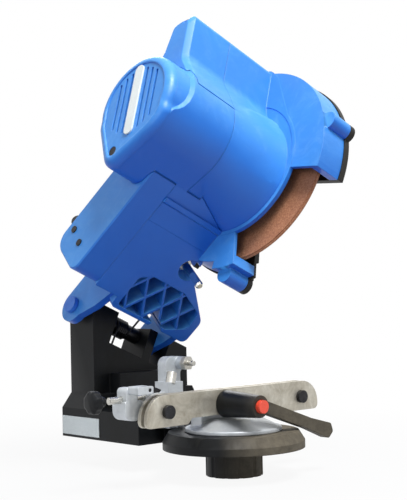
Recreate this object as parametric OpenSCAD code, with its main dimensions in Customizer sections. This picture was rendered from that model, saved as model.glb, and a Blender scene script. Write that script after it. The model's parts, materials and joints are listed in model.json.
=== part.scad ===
// Bench-mounted electric chain grinder: a plastic motor head swings down on an
// inclined hinge over a small swivelling chain vise. X runs along the vise rails,
// the operator stands at -Y, Z is up, and Z = 0 is the face bolted to the bench.

/* [Grinding disc] */
// Outer diameter of the grinding disc
disc_d = 145; // [135:1:146]
// Thickness of the grinding disc
disc_t = 3.2; // [2.5:0.1:4.8]
// Bore of the grinding disc
disc_bore = 22.2; // [20:0.1:24]

/* [Head pose] */
// Tilt of the motor axis below the horizontal
tilt = 24; // [20:1:28]
// Distance from the hinge axis to the motor axis
arm_len = 160; // [158:1:164]
// Lean of the raised arm towards the operator
raised_lean = 36.5; // [34:0.5:40]
// Swing from the raised stop down to the depth stop
swing = 41; // [36:1:42]
// Height of the hinge above the bench, square to the motor axis
hinge_rise = 78; // [76:1:82]
// Distance of the hinge behind the mounting centre
hinge_y = 34; // [30:1:36]

/* [Head casing] */
// Radius of the casing round the motor
motor_r = 56; // [54:1:58]
// Wall of the moulded casing
wall = 3; // [2.5:0.1:3.5]
// Distance from the disc back to the seam of the two shells
seam_back = 73; // [70:1:76]
// Distance from the disc back to the flat left face
face_back = 96; // [92:1:100]
// Distance from the disc back to the end cap
can_back = 118; // [114:1:121]
// Thickness of the end cap
cap_t = 7; // [5:0.5:8]
// Radius of the round motor can
can_r = 38; // [36:0.5:39]
// Outer radius of the disc guard
guard_r = 83; // [80.5:0.5:85]
// Thickness of the arm from its back to the operator side
arm_deep = 42; // [38:1:44]
// Width of the hinge block along the hinge
block_w = 79; // [76:1:82]

/* [Hinge] */
// Diameter of the hinge bolt
hinge_d = 8; // [6:0.5:9]
// Radius of the rounded ears and lugs
lug_r = 13; // [11:0.5:14]
// Thickness of each ear
ear_t = 6; // [5:0.5:8]
// Outer radius of the hinge sleeve
sleeve_r = 6; // [5.5:0.1:6.5]
// Wire diameter of the return spring
spring_wire = 1.6; // [1.2:0.1:2]
// Turns of the return spring
spring_turns = 6; // [4:1:7]

/* [Base] */
// Height of the base box
box_h = 22; // [20:1:26]
// Wall of the base
base_wall = 4; // [3:0.5:5]
// Radius of the round front platform
platform_r = 50; // [48:1:52]
// Height of the front platform
platform_h = 12; // [11:0.5:13]
// Distance of the vise axis in front of the mounting centre
vise_reach = 106; // [104:1:108]
// Spacing of the bench holes along X
bench_x = 60; // [58:1:62]
// Spacing of the bench holes along Y
bench_y = 56; // [54:1:60]
// Diameter of the bench holes
bench_d = 6.5; // [5:0.5:8]

/* [Vise] */
// Radius of the turntable
table_r = 34; // [32:1:36]
// Length of the chain rails
rail_len = 164; // [150:2:170]
// Height of the top edge of the rails
rail_top = 42.3; // [41:0.1:43]
// Height of the chain rails
rail_h = 21.3; // [20:0.1:22]
// Thickness of each rail
rail_t = 3; // [2.5:0.1:3.5]
// Gap between the rails
rail_gap = 3.4; // [2.6:0.1:3.6]
// Distance of each rail screw from the vise axis
screw_x = 64; // [60:1:66]
// Radius of the lock knob
knob_r = 20; // [18:1:22]
// Height of the lock knob
knob_h = 17; // [15:1:20]
// Length of the clamping lever arm
lever_len = 76; // [60:1:85]
// Place of the clamping lever along the rails
clamp_x = -11; // [-14:1:-8]
// Height of the rod of the chain stop
rod_z = 40; // [39:0.5:41]

/* [Fits] */
// Radial clearance of a turning pin
run_fit = 0.05; // [0.02:0.01:0.1]
// Gap between faces that move past each other
side_gap = 0.4; // [0.3:0.05:0.6]
// Gap under the turntable and above the lock knob
table_gap = 0.1; // [0.05:0.05:0.3]

/* [Hidden] */
$fn = 64;
eps = 0.01;
fine = 96;

// Chain and disc geometry
cut_z = rail_top + 3.7;                 // height of the tooth under the disc
disc_r = disc_d / 2;
disc_m = -cut_z * sin(tilt);            // place of the disc plane along the motor axis
hinge_x = hinge_rise * sin(tilt) + disc_m * cos(tilt);
hinge_z = hinge_rise * cos(tilt) - disc_m * sin(tilt);

// Head stations along the motor axis, disc plane at 0, cap side negative
seam = -seam_back;
face = -face_back;
can = -can_back;
chamber = -14;                          // back wall of the disc chamber
cover_z = 9;                            // plane where the guard cover closes
cover_t = 5;
ear_in = -48;                           // inner face of the left ear
block_lo = ear_in - ear_t + 3;
block_hi = block_lo + block_w;
ear_right = block_hi - ear_t - 1;
arm_back = -9;
arm_front = arm_back + arm_deep;
arm_end = -134;                         // lower end of the hinge block
open_hi = 33;                           // end angle of the guard above the open arc
open_lo = -36;                          // end angle of the guard below the open arc
relief_lo = 141;                        // the guard is slimmer here, to pass the stop bracket
relief_hi = 177;
relief_r = 77;
chamber_r = disc_r + 2.5;               // inner radius of the disc chamber
tear_q = -36;                           // place of the cap's screw lug
tear_p = 19;
tear_r = 9;
bolt_q = -80;                           // depth stop bolt
bolt_z = -14;
bolt_r = 3;
bolt_tip = arm_front + 22;

// Base
wall_x = -37;
base_back = 48;
base_front = -46;
bench_gap = 0.5;                         // height of the platform's underside over the bench
base_right = 72;
lug_in = -22;                           // inner face of the wide left lug
cheek = 35;                             // left face of the cheek beside the hinge nut
web_drop = 18;                          // height of the hinge axis above the web
column_l = -28;
column_r = 66;
column_f = 18;
vise_y = -vise_reach;
table_z = platform_h + table_gap;
stud_r = 4;                             // studs of the turntable and the clamp

// ---------- shared functions ----------
function unit(v) = v / norm(v);

// Arc of radius r that rounds the corner b of the path a, b, c
function corner(a, b, c, r, n = 8) =
  let (u = unit(a - b), v = unit(c - b), half = acos(u * v) / 2,
       o = b + unit(u + v) * r / sin(half), s = b + u * r / tan(half) - o,
       e = b + v * r / tan(half) - o, a0 = atan2(s[1], s[0]),
       d = (atan2(e[1], e[0]) - a0 + 540) % 360 - 180)
  [for (i = [0:n]) o + r * [cos(a0 + d * i / n), sin(a0 + d * i / n)]];

// Closed outline through the points with each corner rounded
function rounded(pts, r) =
  [for (i = [0:len(pts) - 1])
    each corner(pts[(i + len(pts) - 1) % len(pts)], pts[i], pts[(i + 1) % len(pts)],
      is_list(r) ? r[i] : r)];

// Outline of two circles and the straight tangents between them
function tear(c1, r1, c2, r2, n = 24) =
  let (d = c2 - c1, f = atan2(d[1], d[0]), a = acos((r1 - r2) / norm(d)))
  concat([for (i = [0:n]) c1 + r1 * [cos(f + a + (360 - 2 * a) * i / n),
                                     sin(f + a + (360 - 2 * a) * i / n)]],
         [for (i = [0:n / 2]) c2 + r2 * [cos(f - a + 4 * a * i / n),
                                         sin(f - a + 4 * a * i / n)]]);

// Tube swept along the points p with eight sides
function ring_at(p, i, r, k = 8) =
  let (t = unit(p[min(i + 1, len(p) - 1)] - p[max(i - 1, 0)]),
       h = abs(t[2]) > 0.9 ? [1, 0, 0] : [0, 0, 1], u = unit(cross(t, h)), v = cross(t, u))
  [for (j = [0:k - 1]) p[i] + r * (cos(360 * j / k) * u + sin(360 * j / k) * v)];

module sweep(p, r, k = 8) {
  points = [for (i = [0:len(p) - 1]) each ring_at(p, i, r, k)];
  sides = [for (i = [0:len(p) - 2]) for (j = [0:k - 1])
    [i * k + j, i * k + (j + 1) % k, (i + 1) * k + (j + 1) % k, (i + 1) * k + j]];
  ends = [[for (j = [k - 1:-1:0]) j], [for (j = [0:k - 1]) (len(p) - 1) * k + j]];
  polyhedron(points, concat(sides, ends));
}

// Hinge frame: x up the arm, y to the operator side, z along the motor axis
module hinge_frame(lean = 0)
  translate([hinge_x, hinge_y, hinge_z]) rotate([0, tilt - 90, 0]) rotate([180, 0, 0])
    rotate([0, 0, lean]) children();

// Head frame: the same directions, with the centre of the disc at its origin
module head(lean = raised_lean) hinge_frame(lean) translate([arm_len, 0, 0]) children();

module ring(r_out, r_in, h) difference() {
  cylinder(r = r_out, h = h, $fn = fine);
  translate([0, 0, -eps]) cylinder(r = r_in, h = h + 2 * eps, $fn = fine);
}

module slab(pts, z0, z1) translate([0, 0, z0]) linear_extrude(z1 - z0) polygon(pts);

// ---------- head casing ----------
// Top box that carries the switch, in the plane of the disc
function top_outline(o = 0) = rounded([[0, -60 + o], [34, -60 + o], [50 - o / 2, -63 + o],
  [71 - o, -50 + o], [71 - o, -36], [50 - o, 20], [0, 20]],
  [3, 8, 9, 9, 9, 6, 3]);

// Arm from the motor down to the hinge block
function arm_outline(o = 0) = rounded([[-20, arm_back + o], [-125 + o, arm_back + o],
  [-125 + o, arm_front - o], [-20, arm_front - o]], [2, 12 - o, 8 - o, 2]);

module motor_solid(z0, z1, o = 0) {
  translate([0, 0, z0]) cylinder(r = motor_r - o, h = z1 - z0, $fn = fine);
  slab(top_outline(o), z0, z1);
}

module can_solid(z0, z1, o = 0)
  slab(tear([0, 0], can_r - o, [tear_q, tear_p], tear_r - o), z0, z1);

// Right side of the arm runs out at a slant to the hinge block
module arm_wedge() translate([0, arm_back, 0]) rotate([-90, 0, 0]) mirror([0, 1, 0])
  linear_extrude(arm_deep) polygon(rounded([[-40, seam], [-125, seam], [-125, block_lo],
    [arm_end, block_lo], [arm_end, block_hi], [-112, block_hi], [-84, chamber + 8],
    [-40, chamber]], [1, 1, 1, 4, 5, 8, 6, 2]));

module sector(z0, z1, r_out, r_in, a0, a1) translate([0, 0, z0]) rotate([0, 0, a0])
  rotate_extrude(angle = a1 - a0, $fn = fine)
    translate([r_in, 0]) square([r_out - r_in, z1 - z0]);

// Ring of the guard, open towards the chain and slimmer where it passes the stop bracket
module guard_arc(z0, z1, r_out, r_in) difference() {
  sector(z0, z1, r_out, r_in, 90 - open_lo, 450 - open_hi);
  sector(z0 - 1, z1 + 1, r_out + 9, relief_r + r_out - guard_r, relief_lo, relief_hi);
}

module ear(z0) difference() {
  translate([0, 0, z0]) linear_extrude(ear_t) translate([-arm_len, 0])
    polygon(concat([for (a = [90:10:270]) lug_r * [cos(a), sin(a)]],
      [[36, -lug_r], [36, arm_front - 4], [16, arm_front - 11]]));
  translate([-arm_len, 0, z0 - 1]) cylinder(r = hinge_d / 2 + run_fit, h = ear_t + 2);
}

// Diagonal ribs inside the pocket on the operator side of the hinge block
pocket = 33;
module rib_pocket() {
  lo = block_lo + 5;
  hi = block_hi - 5;
  difference() {
    translate([0, arm_front - pocket, 0]) rotate([-90, 0, 0]) mirror([0, 1, 0])
      linear_extrude(pocket + 5) polygon(rounded([[-98, lo + 10], [-104, lo], [arm_end + 3, lo],
        [arm_end + 3, hi - 18], [-122, hi - 1], [-107, hi - 3], [-98, hi - 26]],
        [5, 4, 3, 3, 3, 4, 3]));
    for (s = [-1, 1]) for (i = [-4:4])
      translate([-116, arm_front - pocket - 1, (lo + hi) / 2 + i * 18]) rotate([0, s * 32, 0])
        translate([-40, 0, -0.9]) cube([80, pocket + 0.4, 1.8]);
  }
  // Notch for the return spring
  translate([arm_end - 1, arm_front - 24, (lo + hi) / 2 + 7]) rotate([-90, 0, 0])
    linear_extrude(30) polygon([[0, -8], [0, 8], [10, 0]]);
}

screws_at = [[-106, 0], [-108, 16], [63, -50]];
cover_at = [[73, 40], [-60, 62]];
inlet_at = [-106, -84];
switch_at = [12, -57];
screw_r = 1.8;

// Pillar for a screw
module pillar(p, z0, z1, r = 4.5) translate([p[0], p[1], z0]) cylinder(r = r, h = z1 - z0);

module motor_shell() color("royalblue") head() {
  difference() {
    union() {
      difference() {
        union() {
          motor_solid(face, seam);
          can_solid(can, face + eps);
          slab(arm_outline(), face, seam);
        }
        motor_solid(face + wall, seam + 1, wall);
        can_solid(can - 1, face + wall + 1, wall);
        slab(arm_outline(wall), face + wall, seam + 1);
      }
      for (p = screws_at) pillar(p, face + 1, seam);
      pillar([tear_q, tear_p], can, face + wall, 6.5);
    }
    for (p = screws_at) {
      translate([p[0], p[1], face - 1]) cylinder(r = 2.9, h = 2.2);
      translate([p[0], p[1], face]) cylinder(r = screw_r, h = 60, $fn = 32);
    }
    translate([tear_q, tear_p, can - 1]) cylinder(r = 2, h = 17, $fn = 32);
    translate([inlet_at[0], arm_back - 1, inlet_at[1]]) rotate([-90, 0, 0])
      cylinder(r = 5.5, h = wall + 2);
  }
  // Rear bearing plate
  translate([0, 0, can + 6]) difference() {
    cylinder(r = can_r - wall + eps, h = 8, $fn = fine);
    translate([0, 0, -1]) cylinder(r = 11, h = 10);
    translate([0, 0, -1]) ring(can_r - wall - 4, 17, 12);
  }
  for (a = [45:90:315]) rotate([0, 0, a]) translate([13, -2, can + 6]) cube([20, 4, 5]);
}

module guard_shell() color("royalblue") head() {
  difference() {
    union() {
      difference() {
        union() {
          motor_solid(seam, chamber + wall);
          slab(arm_outline(), seam, block_lo + 20);
          arm_wedge();
          guard_arc(chamber, cover_z, guard_r, disc_r - 22);
          for (p = cover_at) pillar(p, chamber + 4, cover_z - 0.3, 7);
        }
        difference() {
          motor_solid(seam - 1, chamber, wall);
          translate([0, 0, chamber - 10]) ring(motor_r + 30, motor_r - wall, 11);
        }
        // Arm cavity
        slab(arm_outline(wall), seam - 1, block_lo - 3);
        translate([-94, arm_back + wall, seam - 1]) cube([49, arm_deep - 2 * wall, 46]);
        // Disc chamber
        translate([0, 0, chamber + wall]) cylinder(r = chamber_r, h = 40, $fn = fine);
        // Depth bolt well
        translate([bolt_q, arm_front + 1, bolt_z]) rotate([90, 0, 0]) cylinder(r = 9, h = 15);
        rib_pocket();
      }
      for (p = [screws_at[0], screws_at[1]]) pillar(p, seam, block_lo - 2);
      pillar(screws_at[2], seam, chamber - 8);
      // Front bearing hub
      translate([0, 0, chamber - 8]) cylinder(r = 15, h = 9);
      ear(ear_in - ear_t);
      ear(ear_right);
    }
    for (p = screws_at) translate([p[0], p[1], seam - 1]) cylinder(r = screw_r, h = 13, $fn = 32);
    translate([0, 0, chamber - 12]) cylinder(r = 11, h = 30);
    translate([bolt_q, arm_front + 1, bolt_z]) rotate([90, 0, 0])
      cylinder(r = bolt_r + run_fit, h = arm_deep + 9);
    for (p = cover_at) translate([p[0], p[1], cover_z - 10]) cylinder(r = 2, h = 12);
    // Switch opening
    translate([switch_at[0] - 7, -66, switch_at[1] - 11]) cube([14, 16, 22]);
    // Room for the hinge bolt in both ears
    translate([-arm_len, 0, ear_in - ear_t - 1])
      cylinder(r = hinge_d / 2 + run_fit, h = block_w + 9);
  }
}

slot_step = 7.4;
slot_reach = 28;
module end_cap() color("royalblue") head() difference() {
  can_solid(can - cap_t, can, 0);
  slab(tear([0, 0], can_r - 3.4, [tear_q, tear_p], tear_r - 3.4), can - cap_t - 1, can - cap_t + 1.2);
  for (i = [-3, -2, -1, 1, 2, 3]) let (s = i * slot_step,
    l = 2 * sqrt(slot_reach * slot_reach - s * s))
    rotate([0, 0, 132]) translate([-l / 2, s - 1.6, 0]) slab(rounded([[0, 0], [l, 0], [l, 3.2],
      [0, 3.2]], 1.5), can - cap_t - 1, can + 1);
  translate([tear_q, tear_p, can - cap_t - 1]) cylinder(r = 3.6, h = 4.2, $fn = 32);
  translate([tear_q, tear_p, can - cap_t - 1]) cylinder(r = 2.1, h = cap_t + 2, $fn = 32);
}

module cap_label() color("white") head() rotate([0, 0, 132])
  translate([-29, -4.2, can - cap_t - 0.2]) linear_extrude(1.4)
    polygon(rounded([[0, 0], [58, 0], [58, 8.4], [0, 8.4]], 4));

module screw(r_head, h_head, r, l) {
  difference() {
    cylinder(r = r_head, h = h_head, $fn = 32);
    for (a = [0, 90]) rotate([0, 0, a])
      translate([-r_head * 0.6, -0.5, -eps]) cube([r_head * 1.2, 1, h_head * 0.6]);
  }
  cylinder(r = r, h = l, $fn = 32);
}

module cap_screw() color("dimgray") head()
  translate([tear_q, tear_p, can - cap_t + 1.2]) screw(3.4, 2, 2, 16);

module casing_screws() color("dimgray") head()
  for (p = screws_at) translate([p[0], p[1], face - 0.8]) screw(2.7, 2, screw_r, 33);

module guard_cover() color("black") head() difference() {
  union() {
    guard_arc(cover_z, cover_z + cover_t, guard_r + 1, disc_r - 22);
    translate([0, 0, cover_z + cover_t - 3]) cylinder(r = disc_r - 16, h = 3, $fn = fine);
    for (p = cover_at) pillar(p, cover_z, cover_z + cover_t, 7);
  }
  translate([0, 0, cover_z + cover_t - 4]) cylinder(r = 20, h = 6);
  // Thinner end, which passes over the corner of the turned rear rail
  sector(cover_z + 2.4, cover_z + cover_t + 1, guard_r + 3, 70, 120, 129);
  for (p = cover_at) translate([p[0], p[1], cover_z - 1]) cylinder(r = 2.2, h = cover_t + 2);
}

module cover_screws() color("dimgray") head() for (p = cover_at)
  translate([p[0], p[1], cover_z + cover_t + 1.8]) mirror([0, 0, 1]) screw(3.6, 1.8, 1.9, 11);

module depth_bolt() color("silver") head() {
  translate([bolt_q, bolt_tip - 1.5, bolt_z]) rotate([90, 0, 0])
    cylinder(r = bolt_r, h = 46, $fn = 48);
  translate([bolt_q, bolt_tip, bolt_z]) rotate([90, 0, 0])
    cylinder(r1 = bolt_r - 1, r2 = bolt_r, h = 1.5 + eps, $fn = 48);
}

module depth_nut() color("silver") head()
  translate([bolt_q, arm_front - 9.2, bolt_z]) rotate([90, 0, 0]) difference() {
    cylinder(r = 5.7, h = 4.8, $fn = 6);
    translate([0, 0, -1]) cylinder(r = bolt_r + run_fit, h = 7);
  }

// ---------- switch and cable inlet on the back of the head ----------
module switch_frame() head() translate([switch_at[0], -60, switch_at[1]]) rotate([90, 0, 0])
  children();

module rocker_frame() color("black") switch_frame() difference() {
  union() {
    translate([-9, -13, 0]) cube([18, 26, 1.6]);
    translate([-7, -11, -7]) cube([14, 22, 7 + eps]);
  }
  translate([-5.5, -9, -5]) cube([11, 18, 8]);
  translate([0, 0, -1]) rotate([0, 90, 0]) cylinder(r = 1.4, h = 13.2, center = true, $fn = 48);
}

// The rocker turns on two pins across the switch
module rocker_switch() color("firebrick") switch_frame() translate([0, 0, -1]) rotate([-6, 0, 0]) {
  difference() {
    translate([-5.2, -8, -2]) cube([10.4, 16, 5.6]);
    translate([-6, 0, 19.5]) rotate([0, 90, 0]) cylinder(r = 17, h = 12, $fn = fine);
  }
  rotate([0, 90, 0]) cylinder(r = 1.2, h = 12.4, center = true, $fn = 48);
}

module cable_inlet() color("black") head()
  translate([inlet_at[0], arm_back, inlet_at[1]]) rotate([90, 0, 0]) difference() {
    union() {
      cylinder(r = 8, h = 4);
      cylinder(r1 = 6.5, r2 = 5, h = 14);
      translate([0, 0, -wall]) cylinder(r = 5.5, h = wall + eps);
    }
    translate([0, 0, -wall - 1]) cylinder(r = 3.2, h = 30);
  }

// ---------- motor ----------
module stator() color("gray") head() translate([0, 0, face + wall + 4]) difference() {
  cylinder(r = motor_r - wall, h = 32, $fn = fine);
  translate([0, 0, -1]) cylinder(r = 23.4, h = 40, $fn = fine);
  for (a = [0, 180]) rotate([0, 0, a]) {
    translate([22, -17, -1]) cube([11.5, 34, 40]);
    translate([-60, 34, -1]) cube([120, 30, 40]);
  }
}

module field_coils() color("chocolate") head() translate([0, 0, face + wall + 2])
  for (a = [0, 180]) rotate([0, 0, a]) translate([25.5, -17, 0]) difference() {
    cube([8, 34, 38]);
    translate([-1, 8, 7]) cube([10, 18, 24]);
  }

module bearing() color("silver") difference() {
  cylinder(r = 11, h = 7);
  translate([0, 0, -1]) cylinder(r = 4 + run_fit, h = 9);
  for (z = [-eps, 6.2]) translate([0, 0, z]) ring(9.4, 6, 0.8 + eps);
}

module rear_bearing() head() translate([0, 0, can + 6]) bearing();
module front_bearing() head() translate([0, 0, chamber - 8]) bearing();

module brush_holders() color("goldenrod") head() for (a = [0, 180])
  rotate([0, 0, a]) translate([13.6, -5, can + 14]) difference() {
    cube([20, 10, 9]);
    translate([-1, 2, 2]) cube([22, 6, 5]);
  }

module carbon_brushes() color("black") head() for (a = [0, 180])
  rotate([0, 0, a]) translate([12.3, -2.9, can + 16]) cube([14, 5.8, 4.8]);

module motor_shaft() color("silver") head() {
  translate([0, 0, can + 4]) cylinder(r = 4, h = can_back + 10, $fn = 48);
  translate([0, 0, can + 14]) cylinder(r = 4.8, h = can_back - 37, $fn = 48);
}

module rotor_core() color("gray") head() translate([0, 0, face + wall + 4]) difference() {
  cylinder(r = 22.6, h = 34, $fn = fine);
  translate([0, 0, -1]) cylinder(r = 4.8, h = 40, $fn = 48);
  for (a = [0:30:330]) rotate([0, 0, a]) translate([19, -1, -1]) cube([5, 2, 40]);
}

module commutator() color("peru") head() translate([0, 0, can + 14.5]) difference() {
  cylinder(r = 12, h = 10);
  translate([0, 0, -1]) cylinder(r = 4.8, h = 12, $fn = 48);
  for (a = [0:15:345]) rotate([0, 0, a]) translate([11.2, -0.3, -1]) cube([2, 0.6, 12]);
}

module fan() color("dimgray") head() translate([0, 0, -50]) difference() {
  union() {
    cylinder(r = 9, h = 14);
    cylinder(r = 42, h = 1.6, $fn = fine);
    for (a = [0:36:324]) rotate([0, 0, a]) translate([8, -0.8, 0]) cube([33, 1.6, 14]);
  }
  translate([0, 0, -1]) cylinder(r = 4.8, h = 16, $fn = 48);
}

module inner_flange() color("silver") head() difference() {
  union() {
    translate([0, 0, -disc_t / 2 - 6]) cylinder(r = 18, h = 6);
    translate([0, 0, -disc_t / 2 - eps]) cylinder(r = disc_bore / 2 - 0.1, h = disc_t - 0.4);
  }
  translate([0, 0, -disc_t / 2 - 7]) cylinder(r = 4, h = 12, $fn = 48);
}

module grinding_disc() color("sienna") head() difference() {
  union() {
    translate([0, 0, -disc_t / 2]) cylinder(r = disc_r - 1, h = disc_t, $fn = 128);
    translate([0, 0, -disc_t / 2 + 0.8]) cylinder(r = disc_r, h = disc_t - 1.6, $fn = 128);
  }
  translate([0, 0, -disc_t]) cylinder(r = disc_bore / 2, h = 2 * disc_t);
}

module outer_flange() color("silver") head() translate([0, 0, disc_t / 2]) difference() {
  cylinder(r1 = 18, r2 = 16, h = 3.5);
  translate([0, 0, -1]) cylinder(r = 4, h = 6, $fn = 48);
}

module spindle_nut() color("silver") head() translate([0, 0, disc_t / 2 + 3.5]) difference() {
  cylinder(r = 7.5, h = 4, $fn = 6);
  translate([0, 0, -1]) cylinder(r = 4, h = 6, $fn = 48);
}

// ---------- base ----------
// Height at x of the line that runs n above the hinge, parallel to it
function above(n, x) = (hinge_rise + n - x * sin(tilt)) / cos(tilt);

module profile(y0, y1, pts) translate([0, y1, 0]) rotate([90, 0, 0]) linear_extrude(y1 - y0)
  polygon(pts);

// Everything of the column above the web is cut away between these stations
module hinge_cut(z0, z1) hinge_frame() translate([-web_drop, -60, z0]) cube([120, 120, z1 - z0]);

module base_frame() color("#15161a") difference() {
  union() {
    translate([wall_x, base_front, 0]) cube([base_right - wall_x, base_back - base_front, box_h]);
    // Sloping shoulder up to the column
    profile(column_f - 6, base_back, [[wall_x, box_h - eps], [base_right, box_h - eps],
      [column_r, box_h + 11], [column_l, box_h + 11]]);
    profile(column_f, base_back, [[column_l, box_h], [column_r, box_h],
      [column_r, above(7, column_r)], [column_l, above(7, column_l)]]);
    // Raised front block
    translate([-13, column_f - 13, 1]) cube([66, 14, 47]);
    // Neck and round platform
    translate([-13, vise_y, 0]) cube([56, vise_reach + base_front + 2, platform_h]);
    translate([0, vise_y, 0]) cylinder(r = platform_r, h = 5.5, $fn = fine);
    translate([0, vise_y, 5.5 - eps])
      cylinder(r1 = platform_r, r2 = platform_r - 4, h = platform_h - 5.5 + eps, $fn = fine);
  }
  // Hollow underside, with a boss for each bench bolt
  difference() {
    union() {
      translate([wall_x + base_wall, base_front + base_wall, -1])
        cube([base_right - wall_x - 2 * base_wall, base_back - base_front - 2 * base_wall,
          box_h - base_wall + 1]);
      profile(column_f + base_wall, base_back - base_wall, [[column_l + base_wall, -1],
        [column_r - base_wall, -1], [column_r - base_wall, above(-web_drop - 5, column_r)],
        [column_l + base_wall, above(-web_drop - 5, 0)]]);
    }
    for (x = [-1, 1]) for (y = [-1, 1]) translate([x * bench_x / 2, y * bench_y / 2, -1])
      cylinder(r = 8, h = 70);
  }
  for (x = [-1, 1]) for (y = [-1, 1]) translate([x * bench_x / 2, y * bench_y / 2, -1])
    cylinder(r = bench_d / 2, h = box_h - 3);
  // Room for the ears and the nut, and the window between the lugs
  hinge_cut(-80, ear_in + side_gap);
  hinge_cut(lug_in, ear_right - 8 - side_gap);
  hinge_cut(ear_right - side_gap, cheek);
  hinge_frame() translate([0, 0, ear_in - 1])
    cylinder(r = hinge_d / 2, h = cheek - ear_in + 1, $fn = 48);
  translate([0, vise_y, -1]) cylinder(r = stud_r + run_fit, h = platform_h + 2, $fn = 48);
  // The neck and the platform stay clear of the bench
  translate([-60, vise_y - 60, -1]) cube([120, base_front - vise_y + 59.6, 1 + bench_gap]);
  for (x = bracket_x) translate([x, base_front - 1, 17]) rotate([-90, 0, 0])
    cylinder(r = 2, h = 8, $fn = 32);
}

module base_label() color("gainsboro") translate([wall_x - 0.6, base_back - 47, 2])
  cube([0.6, 46, 14]);

module hinge_bolt() color("steelblue") hinge_frame() {
  translate([0, 0, ear_in - ear_t - 4]) cylinder(r = 6.5, h = 4 - side_gap, $fn = 48);
  translate([0, 0, ear_in - ear_t - 1]) cylinder(r = hinge_d / 2, h = cheek - ear_in + ear_t,
    $fn = 48);
}

module hinge_nut() color("silver") hinge_frame()
  translate([0, 0, ear_right + ear_t + side_gap]) difference() {
    cylinder(r = 7.5, h = 6, $fn = 6);
    translate([0, 0, -1]) cylinder(r = hinge_d / 2, h = 8, $fn = 48);
  }

module hinge_sleeve() color("#202024") hinge_frame() translate([0, 0, lug_in])
  ring(sleeve_r, hinge_d / 2, ear_right - 8 - side_gap - lug_in);

// Torsion spring: one leg on the web, one against the hinge block of the head
module return_spring() color("dimgray") hinge_frame() {
  r = sleeve_r + spring_wire / 2 + 0.2;
  pitch = spring_wire * 1.15;
  z0 = lug_in + 10;
  z1 = z0 + spring_turns * pitch;
  leg = arm_len + arm_end;
  sweep(concat([[-web_drop, r, z0 - 1]], [for (i = [0:3:spring_turns * 36 - 3])
    [r * sin(i * 10), r * cos(i * 10), z0 + i * pitch / 36]],
    [for (x = [0, leg - 0.3]) let (q = raised_lean)
      [x * cos(q) - r * sin(q), x * sin(q) + r * cos(q), z1]]), spring_wire / 2);
}

// Stop for the depth bolt: the bolt's tip lands on the anvil at the end of the swing
tip_q = arm_len + bolt_q;
tip_a = raised_lean + swing + atan(bolt_tip / tip_q);
tip_d = norm([tip_q, bolt_tip]);
anvil_n = hinge_rise + tip_d * cos(tip_a);
anvil_y = hinge_y - tip_d * sin(tip_a);
anvil_m = disc_m + bolt_z;
anvil_x = anvil_n * sin(tilt) + anvil_m * cos(tilt);
anvil_z = anvil_n * cos(tilt) - anvil_m * sin(tilt);
bracket_x = [-17.5, -10.5];
post_f = base_front - 15;
boss_x = 0.5;
boss_z = 57.5;
boss_r = 4.7;

// Pad in the bracket, square to the bolt when the head is down
module anvil_shape(r, h) translate([anvil_x, anvil_y, anvil_z]) rotate([0, tilt, 0])
  rotate([raised_lean + swing - 90, 0, 0]) translate([0, 0, -h]) cylinder(r = r, h = h - 0.2);

module stop_anvil() color("silver") anvil_shape(3.6, 9);

module stop_bracket() color("silver") difference() {
  union() {
    translate([-21, post_f, platform_h]) cube([14, 15, 33]);
    profile(base_front - 3, base_front + 6, rounded([[-13, box_h], [1, box_h], [1, 52.8],
      [boss_x + boss_r, 52.8], [boss_x + boss_r, 62.2], [-13, 62.2]], [1, 1, 3, 4.6, 4.6, 6]));
    translate([boss_x, base_front - 9, boss_z]) rotate([-90, 0, 0])
      cylinder(r = boss_r, h = 12, $fn = 48);
  }
  for (x = bracket_x) translate([x, post_f - 1, 17]) rotate([-90, 0, 0])
    cylinder(r = 2.2, h = 30, $fn = 32);
  translate([boss_x, base_front - 20, boss_z]) rotate([-90, 0, 0])
    cylinder(r = 1.8, h = 40, $fn = 32);
  anvil_shape(3.6, 9);
}

// Adjusting screw with its lock nut in the boss of the bracket
module bracket_pin() color("silver") translate([boss_x, base_front - 19, boss_z])
  rotate([-90, 0, 0]) {
    cylinder(r = 1.8, h = 24, $fn = 32);
    translate([0, 0, 6]) cylinder(r = 5.3, h = 4, $fn = 6);
  }

module bracket_screws() color("dimgray") for (x = bracket_x)
  translate([x, post_f - 2, 17]) rotate([-90, 0, 0]) screw(3.2, 2, 2, 22);

// ---------- vise ----------
module turntable() color("silver") translate([0, vise_y, table_z]) difference() {
  union() {
    cylinder(r = table_r, h = 3, $fn = fine);
    translate([0, 0, 3 - eps]) cylinder(r1 = table_r - 2, r2 = 20, h = 6, $fn = fine);
    translate([-26, rail_gap / 2 + rail_t, 3]) cube([52, 11, 14]);
  }
  translate([0, 0, -1]) cylinder(r = stud_r, h = 7, $fn = 48);
  translate([clamp_x, 0, stud_z - table_z]) rotate([-90, 0, 0]) cylinder(r = 7, h = 30);
}

rail_end = 16;
module rail(y) translate([0, vise_y, 0]) profile(y, y + rail_t,
  let (l = rail_len / 2, b = rail_top - rail_h)
    rounded([[-l, b], [-46, b], [-42, b + 4], [42, b + 4], [46, b], [l, b], [l, rail_top],
      [-l, rail_top]], [4, 1, 1, 1, 1, 4, rail_end, rail_end]));

screw_z = 31;
stud_z = 32;
jaw = rail_gap / 2;
jaw_out = jaw + rail_t;

module across(x, z, r) translate([x, vise_y - 40, z]) rotate([-90, 0, 0])
  cylinder(r = r, h = 60, $fn = 48);

module rear_rail() color("#9a968c") difference() {
  rail(jaw);
  for (x = [-screw_x, screw_x]) across(x, screw_z, 2.5);
  across(clamp_x, stud_z, stud_r);
}

module front_rail() color("#9a968c") difference() {
  rail(-jaw_out);
  for (x = [-screw_x, screw_x]) across(x, screw_z, 2.6);
  across(clamp_x, stud_z, stud_r + 0.1);
}

module rail_screws() color("#303034") for (x = [-screw_x, screw_x])
  translate([x, vise_y - jaw_out - 3.05, screw_z]) rotate([-90, 0, 0])
    screw(4.6, 3, 2.5, 2 * jaw_out + 5);

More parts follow.
